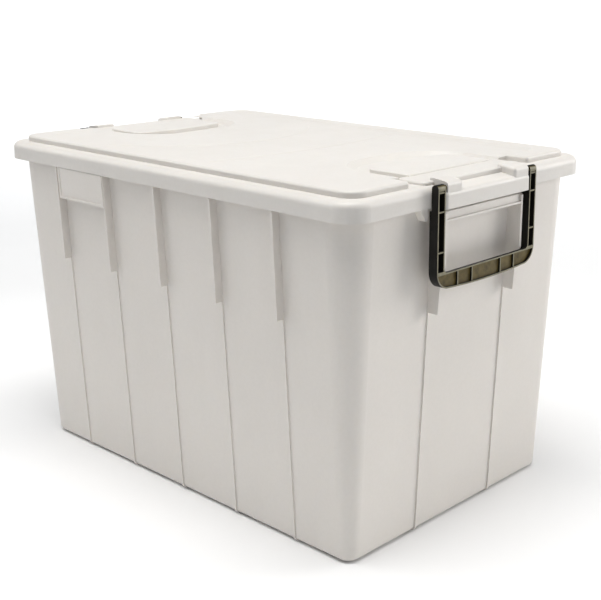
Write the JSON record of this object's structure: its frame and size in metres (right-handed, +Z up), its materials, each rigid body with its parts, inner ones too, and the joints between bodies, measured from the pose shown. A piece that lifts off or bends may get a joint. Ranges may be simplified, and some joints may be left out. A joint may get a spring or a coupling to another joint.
{
  "type": "stacking storage crate with lid",
  "caption": "Rectangular moulded storage crate with ribbed walls, a stackable lift-off lid and swinging bail handles that clip the lid at both ends.",
  "frame": {"origin": "centre of the base, on the surface that the crate stands on", "axes": "+Z up, +X along the length towards the end with handle_right, +Y towards one long side"},
  "size_m": [0.621, 0.406, 0.4],
  "materials": {
    "crate_plastic": "fine moulded grain, satin",
    "lid_plastic": "fine moulded grain, satin",
    "handle_plastic": "fine moulded grain, satin"
  },
  "bodies": {
    "tub": {"tub": "crate_plastic"},
    "lid": {"lid": "lid_plastic"},
    "handle_right": {"handle_right": "handle_plastic"},
    "handle_left": {"handle_left": "handle_plastic"}
  },
  "joints": [
    {"name": "lid_lift", "type": "slide", "parent": "tub", "child": "lid", "axis": [0, 0, 1], "range_m": [0, 0.2]},
    {"name": "handle_right_swing", "type": "hinge", "parent": "lid", "child": "handle_right", "pos_m": [0.3052, 0, 0.3918], "axis": [0, -1, 0], "range_deg": [0, 228]},
    {"name": "handle_left_swing", "type": "hinge", "parent": "lid", "child": "handle_left", "pos_m": [-0.3052, 0, 0.3918], "axis": [0, 1, 0], "range_deg": [0, 228]}
  ]
}
